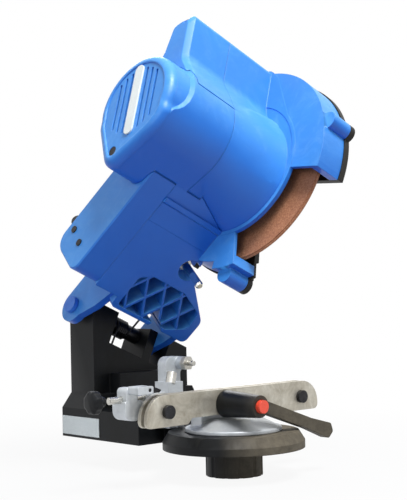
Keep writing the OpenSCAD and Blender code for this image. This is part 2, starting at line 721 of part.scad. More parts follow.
hub_gap = 0.1;
hub_l = 34;
stud_l = 2 * jaw_out + hub_gap + 18.4;
bore_z = 20.6;
button_z = 28.4;

module clamp_stud() color("silver") translate([clamp_x, vise_y + jaw_out, stud_z])
  rotate([90, 0, 0]) cylinder(r = stud_r, h = stud_l, $fn = 48);

module lock_stud() color("silver") translate([0, vise_y, -knob_h - 2])
  cylinder(r = stud_r, h = table_z + knob_h + 8, $fn = 48);

module knob_washer() color("silver") translate([0, vise_y, -1.5])
  ring(11, stud_r + 0.3, 1.5 + bench_gap);

module lock_knob() color("#5d5548") translate([0, vise_y, -1.5 - table_gap - knob_h]) difference() {
  union() {
    cylinder(r = knob_r, h = knob_h - 2, $fn = fine);
    translate([0, 0, knob_h - 2 - eps]) cylinder(r1 = knob_r, r2 = knob_r - 3, h = 2, $fn = fine);
  }
  translate([0, 0, -1]) cylinder(r = stud_r + run_fit, h = knob_h + 2, $fn = 48);
  for (a = [0:30:330]) rotate([0, 0, a]) translate([knob_r + 1.6, 0, -1])
    cylinder(r = 2.4, h = knob_h + 2, $fn = 24);
}

// Hub frame: z runs along the clamping stud towards the operator
module hub() translate([clamp_x, vise_y - jaw_out - hub_gap, stud_z]) rotate([90, 0, 0])
  children();

module clamp_lever() color("#1d1c1c") hub() difference() {
  union() {
    cylinder(r1 = 9.5, r2 = 7.6, h = hub_l, $fn = 48);
    rotate([0, 0, -19]) translate([5, 0, 23]) linear_extrude(7)
      polygon(rounded([[0, -2.5], [lever_len - 26, -2.5], [lever_len - 4, -4],
        [lever_len - 1, 2], [lever_len - 5, 7], [lever_len - 26, 5.5], [0, 6]], 2.4));
  }
  translate([0, 0, -1]) cylinder(r = stud_r + run_fit, h = bore_z, $fn = 48);
  translate([0, 0, bore_z]) cylinder(r = 4.6, h = 20, $fn = 48);
}

module push_button() color("red") hub() translate([0, 0, button_z])
  cylinder(r = 4.5, h = 9, $fn = 48);

module button_spring() color("silver") hub() sweep([for (i = [0:60]) [3 * cos(i * 30),
  3 * sin(i * 30), bore_z + 0.55 + i * (button_z - bore_z - 1.1) / 60]], 0.5, 6);

rod_y = vise_y + 12;
rod_r = 2.4;
rod_left = -100;
lug_x = -71;

module rod_cut() translate([rod_left - 30, rod_y, rod_z]) rotate([0, 90, 0])
  cylinder(r = rod_r + run_fit, h = 110, $fn = 48);

module rod_lug() color("silver") difference() {
  translate([lug_x, vise_y + jaw_out, rod_z - 7]) cube([13, 13, 10.5]);
  rod_cut();
  across(-screw_x, screw_z, 2.6);
}

module stop_rod() color("silver") translate([rod_left, rod_y, rod_z]) rotate([0, 90, 0])
  cylinder(r = rod_r, h = 47, $fn = 48);

module rod_knob() color("black") translate([rod_left - 16, rod_y, rod_z]) rotate([0, 90, 0])
  difference() {
    union() {
      cylinder(r = 8, h = 7, $fn = 48);
      cylinder(r = 4.6, h = 20, $fn = 48);
    }
    translate([0, 0, 16]) cylinder(r = rod_r, h = 8, $fn = 48);
    for (a = [0:30:330]) rotate([0, 0, a]) translate([8.6, 0, -1]) cylinder(r = 1.2, h = 9,
      $fn = 16);
  }

pawl_x = -78;
pawl_z = rod_z + 6.4;

module chain_stop() color("silver") difference() {
  union() {
    profile(rod_y - 5.5, rod_y + 8, rounded([[-91, rod_z - 14], [-76, rod_z - 14],
      [-76, rod_z - 1], [-91, rod_z - 1]], [6.5, 6.5, 1, 1]));
    profile(rod_y - 5.5, rod_y + 4, rounded([[-90, rod_z - 3], [-80, rod_z - 3],
      [-80, rod_z + 8], [-90, rod_z + 8]], [1, 1, 3, 3]));
    // Fork for the pawl over the gap between the rails
    profile(vise_y - 4, rod_y - 5, rounded([[-88, rod_z + 3.6], [-75, rod_z + 3.6],
      [-75, rod_z + 9], [-88, rod_z + 9]], 1.2));
  }
  rod_cut();
  translate([-84, vise_y - 1.6, rod_z]) cube([12, 3.2, 12]);
  translate([pawl_x, vise_y - 10, pawl_z]) rotate([-90, 0, 0])
    cylinder(r = 1.2 + run_fit, h = 17, $fn = 32);
}

module stop_pawl() color("dimgray") {
  profile(vise_y - 1.3, vise_y + 1.3, rounded([[-82, pawl_z - 2.4], [-68, pawl_z - 2.4],
    [-66, pawl_z - 0.8], [-74, pawl_z + 2.4], [-82, pawl_z + 2.4]], [1, 0.6, 0.4, 1, 1]));
  translate([pawl_x, vise_y - 4, pawl_z]) rotate([-90, 0, 0]) cylinder(r = 1.2, h = 8, $fn = 32);
}

base_frame();
base_label();
hinge_bolt();
hinge_nut();
hinge_sleeve();
return_spring();
stop_bracket();
stop_anvil();
bracket_pin();
bracket_screws();
motor_shell();
guard_shell();
end_cap();
cap_label();
cap_screw();
casing_screws();
guard_cover();
cover_screws();
depth_bolt();
depth_nut();
rocker_switch();
rocker_frame();
cable_inlet();
stator();
field_coils();
rear_bearing();
front_bearing();
brush_holders();
carbon_brushes();
motor_shaft();
rotor_core();
commutator();
fan();
inner_flange();
grinding_disc();
outer_flange();
spindle_nut();
turntable();
rear_rail();
front_rail();
rail_screws();
clamp_stud();
clamp_lever();
push_button();
button_spring();
rod_lug();
stop_rod();
rod_knob();
chain_stop();
stop_pawl();
lock_stud();
lock_knob();
knob_washer();
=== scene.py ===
import json
import math

import bmesh
import bpy
from mathutils import Matrix, Vector


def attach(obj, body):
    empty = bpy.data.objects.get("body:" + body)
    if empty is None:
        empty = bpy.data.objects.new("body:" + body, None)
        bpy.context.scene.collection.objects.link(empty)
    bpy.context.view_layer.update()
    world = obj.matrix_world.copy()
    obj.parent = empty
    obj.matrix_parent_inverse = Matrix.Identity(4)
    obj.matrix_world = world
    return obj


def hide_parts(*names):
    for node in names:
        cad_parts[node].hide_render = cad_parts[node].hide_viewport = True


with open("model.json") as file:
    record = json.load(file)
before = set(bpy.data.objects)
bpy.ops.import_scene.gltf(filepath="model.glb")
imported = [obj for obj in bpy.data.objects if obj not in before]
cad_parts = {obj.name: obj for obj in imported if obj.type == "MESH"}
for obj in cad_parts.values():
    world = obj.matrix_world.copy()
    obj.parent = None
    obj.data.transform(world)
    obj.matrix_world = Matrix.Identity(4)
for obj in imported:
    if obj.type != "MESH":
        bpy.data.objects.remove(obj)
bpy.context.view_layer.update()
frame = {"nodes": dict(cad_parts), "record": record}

# ---------------------------------------------------------------- camera
AZ, EL, ROLL = math.radians(-42), math.radians(-1.5), math.radians(-1.3)
EYE = Vector((-0.5789, -0.7218, 0.1170))
SENSOR, LENS = 36, 86.4


def make_camera():
    """Camera of the photograph, from its azimuth, elevation and roll."""
    back = Vector((math.sin(AZ) * math.cos(EL), -math.cos(AZ) * math.cos(EL), math.sin(EL)))
    right = (-back).cross(Vector((0, 0, 1))).normalized()
    up = right.cross(-back)
    across = math.cos(ROLL) * right + math.sin(ROLL) * up
    upward = -math.sin(ROLL) * right + math.cos(ROLL) * up
    data = bpy.data.cameras.new("camera")
    data.sensor_fit = "VERTICAL"
    data.sensor_height = SENSOR
    data.sensor_width = SENSOR
    data.lens = LENS
    data.clip_start = 0.01
    camera = bpy.data.objects.new("camera", data)
    camera.matrix_world = Matrix((across, upward, back)).transposed().to_4x4()
    camera.location = EYE
    bpy.context.collection.objects.link(camera)
    bpy.context.scene.camera = camera


make_camera()

# ---------------------------------------------------------------- node helpers


class Shader:
    """Small helper that adds nodes to one material and links them by name."""

    def __init__(self, name):
        self.material = bpy.data.materials.new(name)
        self.material.use_nodes = True
        self.tree = self.material.node_tree
        self.tree.nodes.clear()
        self.out = self.tree.nodes.new("ShaderNodeOutputMaterial")
        self.bsdf = self.tree.nodes.new("ShaderNodeBsdfPrincipled")
        self.tree.links.new(self.bsdf.outputs[0], self.out.inputs[0])
        self.coords = self.tree.nodes.new("ShaderNodeTexCoord").outputs["Object"]

    def link(self, output, socket):
        self.tree.links.new(output, socket)

    def noise(self, scale, detail=4, rough=0.55, stretch=None, distortion=0.0):
        """Noise of the object's own place, stretched along its axes where stretch is given."""
        vector = self.coords
        if stretch:
            mapping = self.tree.nodes.new("ShaderNodeMapping")
            mapping.inputs["Scale"].default_value = stretch
            self.link(self.coords, mapping.inputs["Vector"])
            vector = mapping.outputs[0]
        node = self.tree.nodes.new("ShaderNodeTexNoise")
        node.inputs["Scale"].default_value = scale
        node.inputs["Detail"].default_value = detail
        node.inputs["Roughness"].default_value = rough
        node.inputs["Distortion"].default_value = distortion
        self.link(vector, node.inputs["Vector"])
        return node.outputs["Fac"]

    def ramp(self, value, stops):
        """Colour of a value, from (place, colour) stops."""
        node = self.tree.nodes.new("ShaderNodeValToRGB")
        ramp = node.color_ramp
        while len(ramp.elements) < len(stops):
            ramp.elements.new(0.5)
        for element, (place, color) in zip(ramp.elements, stops):
            element.position = place
            element.color = (*color, 1)
        self.link(value, node.inputs["Fac"])
        return node.outputs["Color"]

    def span(self, value, low, high, start=0.3, end=0.7):
        """Value between start and end, mapped to between low and high."""
        node = self.tree.nodes.new("ShaderNodeMapRange")
        node.inputs["From Min"].default_value = start
        node.inputs["From Max"].default_value = end
        node.inputs["To Min"].default_value = low
        node.inputs["To Max"].default_value = high
        self.link(value, node.inputs["Value"])
        return node.outputs[0]

    def mix(self, factor, a, b, mode="MIX"):
        """Colour between a and b; each is a number, a colour or an output."""
        node = self.tree.nodes.new("ShaderNodeMix")
        node.data_type = "RGBA"
        node.blend_type = mode
        for value, socket in ((factor, node.inputs[0]), (a, node.inputs[6]), (b, node.inputs[7])):
            if isinstance(value, (int, float)):
                socket.default_value = value
            elif isinstance(value, tuple):
                socket.default_value = (*value, 1)
            else:
                self.link(value, socket)
        return node.outputs[2]

    def math(self, kind, a, b):
        """Result of one calculation on two values, each a number or an output."""
        node = self.tree.nodes.new("ShaderNodeMath")
        node.operation = kind
        for value, socket in ((a, node.inputs[0]), (b, node.inputs[1])):
            if isinstance(value, (int, float)):
                socket.default_value = value
            else:
                self.link(value, socket)
        return node.outputs[0]

    def place(self, axis):
        """One coordinate of the object's own place."""
        node = self.tree.nodes.new("ShaderNodeSeparateXYZ")
        self.link(self.coords, node.inputs[0])
        return node.outputs[axis]

    def bump(self, heights, edge):
        """Chain of bumps from (height, strength, distance) over a soft edge of a radius."""
        bevel = self.tree.nodes.new("ShaderNodeBevel")
        bevel.samples = 4
        bevel.inputs["Radius"].default_value = edge
        normal = bevel.outputs[0]
        for height, strength, distance in heights:
            node = self.tree.nodes.new("ShaderNodeBump")
            node.inputs["Strength"].default_value = strength
            node.inputs["Distance"].default_value = distance
            self.link(height, node.inputs["Height"])
            self.link(normal, node.inputs["Normal"])
            normal = node.outputs[0]
        self.link(normal, self.bsdf.inputs["Normal"])

    def set(self, **values):
        """Numbers, colours or outputs for the inputs of the surface shader."""
        for name, value in values.items():
            socket = self.bsdf.inputs[name.replace("_", " ")]
            if isinstance(value, (int, float)):
                socket.default_value = value
            elif isinstance(value, tuple):
                socket.default_value = (*value, 1)
            else:
                self.link(value, socket)


# ---------------------------------------------------------------- materials
def moulded(name, color, shade, light, rough, grain=0.25, coat=0.0, edge=0.0007):
    """Moulded plastic with a fine grain, faint flow marks and slight variation."""
    s = Shader(name)
    cloud = s.noise(14, 5, 0.6, distortion=0.4)
    fine = s.noise(420, 3, 0.6)
    base = s.ramp(cloud, [(0.3, shade), (0.52, color), (0.75, light)])
    speck = s.span(s.noise(900, 2), 0.94, 1.04)
    base = s.mix(1.0, base, s.mix(1.0, (1.0, 1.0, 1.0), speck, "MULTIPLY"), "MULTIPLY")
    scuff = s.noise(60, 6, 0.7, (1, 1, 4))
    s.set(Base_Color=base, Roughness=s.span(scuff, rough - 0.07, rough + 0.1))
    s.bsdf.inputs["Coat Weight"].default_value = coat
    s.bsdf.inputs["Coat Roughness"].default_value = 0.2
    s.bump([(cloud, 0.12, 0.002), (fine, grain, 0.00012), (scuff, 0.06, 0.0002)], edge)
    return s.material


def metal(name, color, dark, rough, metallic, grain, bump=0.2, edge=0.0005, stain=None):
    """Metal with brushed or cast grain, dull patches and faint stains."""
    s = Shader(name)
    patch = s.noise(38, 6, 0.62, distortion=0.5)
    base = s.ramp(patch, [(0.32, dark), (0.6, color)])
    if stain:
        spots = s.span(s.noise(55, 7, 0.7, distortion=1.2), 0.0, 0.65, 0.52, 0.72)
        base = s.mix(spots, base, stain)
    fine = s.noise(grain, 5, 0.65)
    dull = s.span(patch, rough + 0.1, rough - 0.06)
    s.set(Base_Color=base, Metallic=metallic,
          Roughness=s.math("ADD", dull, s.span(fine, -0.05, 0.08)))
    s.bump([(fine, bump, 0.00015), (patch, 0.05, 0.0006)], edge)
    return s.material


def blue_plastic():
    """Glossy azure plastic: paler with painted light and scuffed where it faces up, deeper with
    painted shade where it faces down.
    """
    s = Shader("blue_plastic")
    cloud = s.noise(11, 5, 0.6, distortion=0.5)
    fine = s.noise(520, 3, 0.6)
    base = s.ramp(cloud, [(0.3, (0.014, 0.150, 0.56)), (0.55, (0.020, 0.195, 0.66)),
                          (0.8, (0.036, 0.245, 0.74))])
    # Height of the surface normal, for the painted light above and the painted shade below
    geometry = s.tree.nodes.new("ShaderNodeNewGeometry")
    split = s.tree.nodes.new("ShaderNodeSeparateXYZ")
    s.link(geometry.outputs["Normal"], split.inputs[0])
    upward = s.span(split.outputs[2], 0.0, 1.0, -0.1, 0.9)
    underside_painted_shade = s.span(split.outputs[2], 0.85, 0.0, -0.75, 0.15)
    # Pale smears of rubbed dust, mostly on the surfaces that face up
    smear = s.span(s.noise(46, 8, 0.72, distortion=1.6), 0.0, 1.0, 0.5, 0.78)
    dust_and_glare = s.math("MULTIPLY", upward, smear)
    # Painted shade: deeper blue where the surface faces down
    base = s.mix(underside_painted_shade, base, (0.010, 0.095, 0.56))
    # Painted light: paler blue where the surface faces up
    base = s.mix(s.math("MULTIPLY", upward, 0.30), base, (0.20, 0.58, 0.92))
    base = s.mix(s.math("MULTIPLY", dust_and_glare, 0.3), base, (0.42, 0.72, 0.92))
    scuff = s.noise(70, 7, 0.72, (1, 1, 5))
    s.set(Base_Color=base,
          Roughness=s.math("ADD", s.span(scuff, 0.30, 0.46), s.math("MULTIPLY", dust_and_glare, 0.22)))
    s.bsdf.inputs["Specular IOR Level"].default_value = 0.42
    s.bump([(cloud, 0.10, 0.0025), (fine, 0.22, 0.0001), (scuff, 0.08, 0.0002)], 0.0009)
    return s.material


def black_with_glare(name, glare_amount=1.0, start=0.048, end=0.078):
    """Black plastic with a ragged brown grey film of painted glare, which grows between start and
    end in metres.
    """
    s = Shader(name)
    cloud = s.noise(30, 6, 0.65, distortion=0.6)
    fine = s.noise(480, 4, 0.65)
    black = s.ramp(cloud, [(0.35, (0.003, 0.0035, 0.004)), (0.7, (0.009, 0.010, 0.012))])
    dust_and_glare = s.ramp(s.noise(160, 6, 0.7),
                  [(0.3, (0.085, 0.073, 0.055)), (0.75, (0.155, 0.135, 0.10))])
    # The painted glare starts near the middle of the platform and is strongest on its right
    right, near = s.math("MULTIPLY", s.place(0), 0.80), s.math("MULTIPLY", s.place(1), -0.60)
    reach = s.span(s.math("ADD", right, near), 0.0, 1.0, start, end)
    # Only the vise in front of the base gets the painted glare
    front = s.span(s.place(1), 1.0, 0.0, -0.055, -0.035)
    film = s.math("MULTIPLY", s.math("MULTIPLY", reach, front), glare_amount)
    ragged_glare = s.math("MULTIPLY", film, s.span(cloud, 0.75, 1.0))
    # Painted glare: the black turns brown grey under the ragged film
    s.set(Base_Color=s.mix(ragged_glare, black, dust_and_glare),
          Roughness=s.math("ADD", s.span(cloud, 0.34, 0.48), s.math("MULTIPLY", ragged_glare, 0.3)))
    s.bsdf.inputs["Specular IOR Level"].default_value = 0.18
    s.bump([(fine, 0.3, 0.00014), (cloud, 0.08, 0.001)], 0.0009)
    return s.material


def abrasive():
    """Bonded grit of the disc, red brown with glazed patches."""
    s = Shader("abrasive")
    grit = s.tree.nodes.new("ShaderNodeTexVoronoi")
    grit.inputs["Scale"].default_value = 1100
    s.link(s.coords, grit.inputs["Vector"])
    fleck = s.noise(700, 4, 0.7)
    glaze = s.noise(40, 5, 0.6, distortion=0.7)
    base = s.ramp(fleck, [(0.32, (0.22, 0.085, 0.042)), (0.5, (0.40, 0.165, 0.082)),
                          (0.7, (0.54, 0.27, 0.15))])
    base = s.mix(s.span(glaze, 0.0, 0.45), base, (0.32, 0.14, 0.08))
    s.set(Base_Color=base, Roughness=s.span(fleck, 0.75, 0.95))
    s.bump([(grit.outputs["Distance"], 0.5, 0.00025), (fleck, 0.4, 0.0002)], 0.0004)
    return s.material


def rail_steel():
    """Bare steel with a khaki cast, brushed along the rail, stained by dust and oil."""
    s = Shader("rail_steel")
    brush = s.noise(240, 6, 0.7, (0.12, 1, 1))
    blot = s.noise(34, 7, 0.68, distortion=1.4)
    film = s.noise(120, 6, 0.7, distortion=0.5)
    base = s.ramp(blot, [(0.30, (0.31, 0.275, 0.215)), (0.50, (0.50, 0.465, 0.39)),
                         (0.72, (0.68, 0.66, 0.59))])
    base = s.mix(s.span(film, 0.0, 0.5, 0.45, 0.75), base, (0.20, 0.17, 0.12))
    base = s.mix(s.span(brush, 0.0, 0.22), base, (0.62, 0.62, 0.57))
    s.set(Base_Color=base, Metallic=0.72,
          Roughness=s.math("ADD", s.span(blot, 0.50, 0.34), s.span(brush, -0.06, 0.10)))
    s.bump([(brush, 0.25, 0.00010), (film, 0.10, 0.0002)], 0.0006)
    return s.material


def build_materials():
    """One material for each slot of the record."""
    m = {}
    m["blue_plastic"] = blue_plastic()
    m["black_plastic"] = black_with_glare("black_plastic")
    m["cover_black"] = black_with_glare("cover_black", 0.12)
    m["knob_brown"] = black_with_glare("knob_brown", 1.0)
    # On the lever the painted glare starts further out: the hub stays black as in shade and only
    # the arm turns brown
    m["lever_brown"] = black_with_glare("lever_brown", 0.9, 0.066, 0.092)
    m["label_white"] = moulded("label_white", (0.70, 0.75, 0.76), (0.62, 0.67, 0.68),
                               (0.78, 0.82, 0.83), 0.35, 0.08)
    m["switch_red"] = moulded("switch_red", (0.55, 0.02, 0.015), (0.45, 0.015, 0.01),
                              (0.62, 0.03, 0.02), 0.25, 0.1, 0.4)
    m["button_red"] = moulded("button_red", (0.80, 0.075, 0.035), (0.66, 0.05, 0.025),
                              (0.88, 0.12, 0.06), 0.32, 0.15, 0.2, 0.0012)
    m["inlet_rubber"] = moulded("inlet_rubber", (0.012, 0.012, 0.013), (0.008, 0.008, 0.009),
                                (0.03, 0.03, 0.03), 0.6, 0.4)
    m["carbon"] = moulded("carbon", (0.02, 0.02, 0.02), (0.01, 0.01, 0.01),
                          (0.03, 0.03, 0.03), 0.7, 0.3)
    m["hinge_blue"] = metal("hinge_blue", (0.045, 0.21, 0.72), (0.03, 0.14, 0.58), 0.36, 0.15, 260)
    m["dark_steel"] = metal("dark_steel", (0.045, 0.045, 0.05), (0.018, 0.018, 0.02),
                            0.32, 0.85, 400)
    m["bright_steel"] = metal("bright_steel", (0.66, 0.65, 0.61), (0.42, 0.41, 0.38),
                              0.24, 1.0, 350, stain=(0.35, 0.31, 0.24))
    m["chrome"] = metal("chrome", (0.86, 0.85, 0.80), (0.62, 0.61, 0.56),
                        0.10, 1.0, 300, bump=0.08)
    m["cast_alloy"] = metal("cast_alloy", (0.62, 0.65, 0.68), (0.44, 0.47, 0.50),
                            0.42, 0.55, 330, bump=0.45, edge=0.0010)
    m["lamination"] = metal("lamination", (0.30, 0.30, 0.31), (0.18, 0.18, 0.19), 0.5, 0.9, 500)
    m["copper"] = metal("copper", (0.62, 0.28, 0.13), (0.45, 0.18, 0.08), 0.35, 1.0, 500)
    m["rail_steel"] = rail_steel()
    m["abrasive"] = abrasive()
    return m


MATERIALS = build_materials()
SLOTS = {row["node"]: row["material_slot"] for row in frame["record"]["subparts"]}
BODIES = {node: body for body, nodes in frame["record"]["behaviour"]["bodies"].items()
          for node in nodes}

for node, obj in frame["nodes"].items():
    obj.data.materials.clear()
    obj.data.materials.append(MATERIALS[SLOTS[node]])


# ---------------------------------------------------------------- copies with rounded edges
WELD = 1e-6
SOFT_EDGE = math.radians(32)
SOFT = {"base_frame": 0.0012, "stop_bracket": 0.0009, "chain_stop": 0.0008, "turntable": 0.0008,
        "rear_rail": 0.0004, "front_rail": 0.0004, "guard_cover": 0.0007, "clamp_lever": 0.0009,
        "rod_lug": 0.0006}


def soften(node, width):
    """Copy of a node with real rounded edges, which stands for the node."""
    mesh = frame["nodes"][node].data.copy()
    bm = bmesh.new()
    bm.from_mesh(mesh)
    bmesh.ops.remove_doubles(bm, verts=bm.verts, dist=WELD)
    bmesh.ops.dissolve_limit(bm, angle_limit=math.radians(1.2), verts=bm.verts, edges=bm.edges)
    bm.to_mesh(mesh)
    bm.free()
    piece = bpy.data.objects.new(node + "_moulding", mesh)
    bpy.context.collection.objects.link(piece)
    mesh.materials.clear()
    mesh.materials.append(MATERIALS[SLOTS[node]])
    mesh.shade_smooth()
    mesh.set_sharp_from_angle(angle=SOFT_EDGE)
    bevel = piece.modifiers.new("edges", "BEVEL")
    bevel.limit_method = "ANGLE"
    bevel.angle_limit = SOFT_EDGE
    bevel.width = width
    bevel.segments = 2
    bevel.use_clamp_overlap = True
    bevel.harden_normals = True
    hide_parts(node)
    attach(piece, BODIES[node])


# ---------------------------------------------------------------- head frame and skins
# Centre of the disc and the directions of the head: up the arm, to the operator, along the motor
DISC = Vector((0.066946, -0.061172, 0.196364))
UP_ARM = Vector((0.326958, -0.594823, 0.734360))
FORTH = Vector((-0.241936, -0.803857, -0.543398))
MOTOR = Vector((0.913545, 0.0, -0.406737))
# All lengths of the head are in millimetres; depths run along the motor from the disc
CAN_R, LUG, LUG_R = 39.5, (-36.5, 19.5), 11.0
CAP_Z, CAP_FACE, FIN_Z, CAN_SEAM = -118.0, -125.0, -103.0, -62.0
SEAM_GAP = 0.15
# The thick part of the can stands this far out over its end
STEP = 2.6
# Seam between the halves of the arm, and the front end of the round flare
ARM_SEAM, FLARE_END = -73.0, -14.05
CAP_SCREW, FIN_SCREW = (-36, 19), (63, -50)


def at(a, b, c):
    """Point of the head, in millimetres up the arm, towards the operator and along the motor."""
    return DISC + (a * UP_ARM + b * FORTH + c * MOTOR) * 0.001


def skin(bm, rings):
    """Closed skin over rings of equal length, flat at both ends."""
    rows = [[bm.verts.new(at(*p)) for p in ring] for ring in rings]
    for one, two in zip(rows, rows[1:]):
        for i in range(len(one)):
            j = (i + 1) % len(one)
            bm.faces.new((one[i], one[j], two[j], two[i]))
    bm.faces.new(rows[0][::-1])
    bm.faces.new(rows[-1])


def finish_mesh(bm, name, slot, body, smooth, replaced):
    """Object from a mesh, in its slot and on its body, which stands for a node."""
    bmesh.ops.recalc_face_normals(bm, faces=bm.faces)
    mesh = bpy.data.meshes.new(name)
    bm.to_mesh(mesh)
    bm.free()
    mesh.materials.append(MATERIALS[slot])
    mesh.shade_smooth()
    mesh.set_sharp_from_angle(angle=math.radians(smooth))
    piece = bpy.data.objects.new(name, mesh)
    bpy.context.collection.objects.link(piece)
    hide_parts(replaced)
    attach(piece, body)
    return piece


def tear(off):
    """Outline of the motor can with its screw lug, moved inwards by off."""
    can_steps, lug_steps = 96, 20
    r1, r2 = CAN_R - off, LUG_R - off
    f = math.atan2(LUG[1], LUG[0])
    a = math.acos((CAN_R - LUG_R) / math.hypot(*LUG))
    far = [(r1 * math.cos(f + a + (2 * math.pi - 2 * a) * i / can_steps),
            r1 * math.sin(f + a + (2 * math.pi - 2 * a) * i / can_steps))
           for i in range(can_steps + 1)]
    near = [(LUG[0] + r2 * math.cos(f - a + 2 * a * i / lug_steps),
             LUG[1] + r2 * math.sin(f - a + 2 * a * i / lug_steps))
            for i in range(lug_steps + 1)]
    return far + near


def rounded(points, radii, n=8):
    """Outline with each corner rounded by its radius."""
    out = []
    for i, b in enumerate(points):
        a, c = Vector(points[i - 1]), Vector(points[(i + 1) % len(points)])
        b = Vector(b)
        u, v = (a - b).normalized(), (c - b).normalized()
        half = math.acos(max(-1, min(1, u.dot(v)))) / 2
        r = radii[i]
        o = b + (u + v).normalized() * r / math.sin(half)
        s, e = b + u * r / math.tan(half) - o, b + v * r / math.tan(half) - o
        a0 = math.atan2(s.y, s.x)
        d = (math.atan2(e.y, e.x) - a0 + 3 * math.pi) % (2 * math.pi) - math.pi
        out += [(o.x + r * math.cos(a0 + d * k / n), o.y + r * math.sin(a0 + d * k / n))
                for k in range(n + 1)]
    return out


def table(x, rows):
    """Value at x on the line through the rows."""
    if x <= rows[0][0]:
        return rows[0][1]
    for (x0, y0), (x1, y1) in zip(rows, rows[1:]):
        if x <= x1:
            return y0 + (y1 - y0) * (x - x0) / (x1 - x0)
    return rows[-1][1]


# Angle round the motor axis in degrees, and the depth where the thick casing ends there
STEP_LINE = [(-165, -118), (-140, -110), (-120, -103), (0, -101), (23, -102.6), (38, -104),
             (50, -106.3), (58, -109.5), (63, -112.5), (67, -117), (70, -124)]


def angle_of(p):
    """Angle round the motor axis in degrees."""
    return math.degrees(math.atan2(p[1], p[0]))


def step_depth(angle):
    """Height of the step at an angle: it runs out where the can is flush with the cap."""
    return table(angle, [(-165, 0), (-150, STEP), (62, STEP), (71, 0)])


def fin_outline(off):
    """Fin on top of the motor, moved inwards by off: the can's side runs up into it."""
    return rounded([(0, 0), (6, -36 + off), (33 + off / 2, -47 + 0.9 * off), (53, -60 + 1.2 * off),
                    (71.5 - 1.55 * off, -48 + 0.2 * off), (44.5 - 0.9 * off, -19 - off / 2),
                    (40.4 - off, 2), (37.5 - off, 14), (20, 16)],
                   [1, 6, 6, 5, 4.5, 16, 10, 2, 1])


def rear_outline(off):
    """Switch housing at the back of the motor."""
    return rounded([(-8 + off, 0), (-8 + off, -60 + off), (32 - off, -60 + off), (32 - off, 0)],
                   [1, 5, 5, 1])


def flat(outline, z):
    """Outline at one depth along the motor."""
    return [(a, b, z) for a, b in outline]


CUT_WELD = 2e-5
CUT_FLAT = math.radians(0.8)


def clean_shading(piece, angle):
    """Merge the slivers that a cut leaves, and weight the normals by the size of the faces."""
    bm = bmesh.new()
    bm.from_mesh(piece.data)
    bmesh.ops.remove_doubles(bm, verts=bm.verts, dist=CUT_WELD)
    bmesh.ops.dissolve_limit(bm, angle_limit=CUT_FLAT, verts=bm.verts, edges=bm.edges)
    bm.to_mesh(piece.data)
    bm.free()
    piece.data.shade_smooth()
    piece.data.set_sharp_from_angle(angle=math.radians(angle))
    weighted = piece.modifiers.new("normals", "WEIGHTED_NORMAL")
    weighted.keep_sharp = True


def motor_half():
    """Left half of the casing: can, fin, switch housing and the left side of the arm."""
    bm = bmesh.new()
    seam = CAN_SEAM - SEAM_GAP
    levels = [[], [], [], [], []]
    for inner, outer in zip(tear(STEP), tear(0)):
        angle = angle_of(outer)
        share = step_depth(angle) / STEP
        edge = [o + (i - o) * share for i, o in zip(inner, outer)]
        z = table(angle, STEP_LINE)
        levels[0].append((*edge, CAP_Z))
        levels[1].append((*edge, max(CAP_Z + 0.3, z - STEP)))
        levels[2].append((*outer, max(CAP_Z + 0.6, z)))
        levels[3].append((*outer, -90.0))
        levels[4].append((*outer, seam))
    skin(bm, levels)
    skin(bm, [flat(fin_outline(4.2), FIN_Z), flat(fin_outline(3.8), FIN_Z + 0.2),
              flat(fin_outline(0.4), FIN_Z + 3.4), flat(fin_outline(0.0), FIN_Z + 4.2),
              flat(fin_outline(0.0), seam)])
    skin(bm, [flat(rear_outline(2), -92), flat(rear_outline(0), -90),
              flat(rear_outline(0), seam)])
    arm = [(-20, -9), (-125, -9), (-125, 33), (-20, 33)]
    slim_arm = [(-20, -8), (-124, -8), (-124, 32), (-20, 32)]
    skin(bm, [flat(rounded(slim_arm, [2, 11, 7, 2]), -96), flat(rounded(arm, [2, 12, 8, 2]), -95),
              flat(rounded(arm, [2, 12, 8, 2]), ARM_SEAM - 0.1)])
    piece = finish_mesh(bm, "motor_casing", "blue_plastic", "head", 30, "motor_shell")
    carve(piece, cutter_of([disc_of(FIN_SCREW, 3, -106), disc_of(FIN_SCREW, 3, -96.8)]))
    clean_shading(piece, 30)


def disc_of(centre, r, z, n=32):
    """Circle at one depth along the motor."""
    turns = [2 * math.pi * i / n for i in range(n)]
    return [(centre[0] + r * math.cos(t), centre[1] + r * math.sin(t), z) for t in turns]


def cutter_of(*solids):
    """Throwaway object made of closed skins, for carve."""
    bm = bmesh.new()
    for rings in solids:
        skin(bm, rings)
    bmesh.ops.recalc_face_normals(bm, faces=bm.faces)
    cutter = bpy.data.objects.new("cutter", bpy.data.meshes.new("cutter"))
    bm.to_mesh(cutter.data)
    bm.free()
    return cutter


# Slots of the cap: direction in degrees, pitch, extra room beside the label, width, and the
# radius of the field they fill
SLOT_TURN, SLOT_PITCH, LABEL_ROOM, SLOT_W, SLOT_FIELD_R = 132, 5.6, 2.2, 2.1, 29.5


def cap_slots(piece):
    """Screw pocket, and cooling slots on each side of the label."""
    over = CAP_FACE - 2
    solids = [[disc_of(CAP_SCREW, 3.6, over), disc_of(CAP_SCREW, 3.6, -121.8)]]
    turn = math.radians(SLOT_TURN)
    for i in (-3, -2, -1, 1, 2, 3):
        side = i * SLOT_PITCH + math.copysign(LABEL_ROOM, i)
        half = math.sqrt(SLOT_FIELD_R ** 2 - side ** 2) - 3
        low, high = side - SLOT_W / 2, side + SLOT_W / 2
        ends = rounded([(-half, low), (half, low), (half, high), (-half, high)], [1, 1, 1, 1], 4)
        ends = [(x * math.cos(turn) - y * math.sin(turn), x * math.sin(turn) + y * math.cos(turn))
                for x, y in ends]
        solids.append([flat(ends, over), flat(ends, -121.5)])
    carve(piece, cutter_of(*solids))


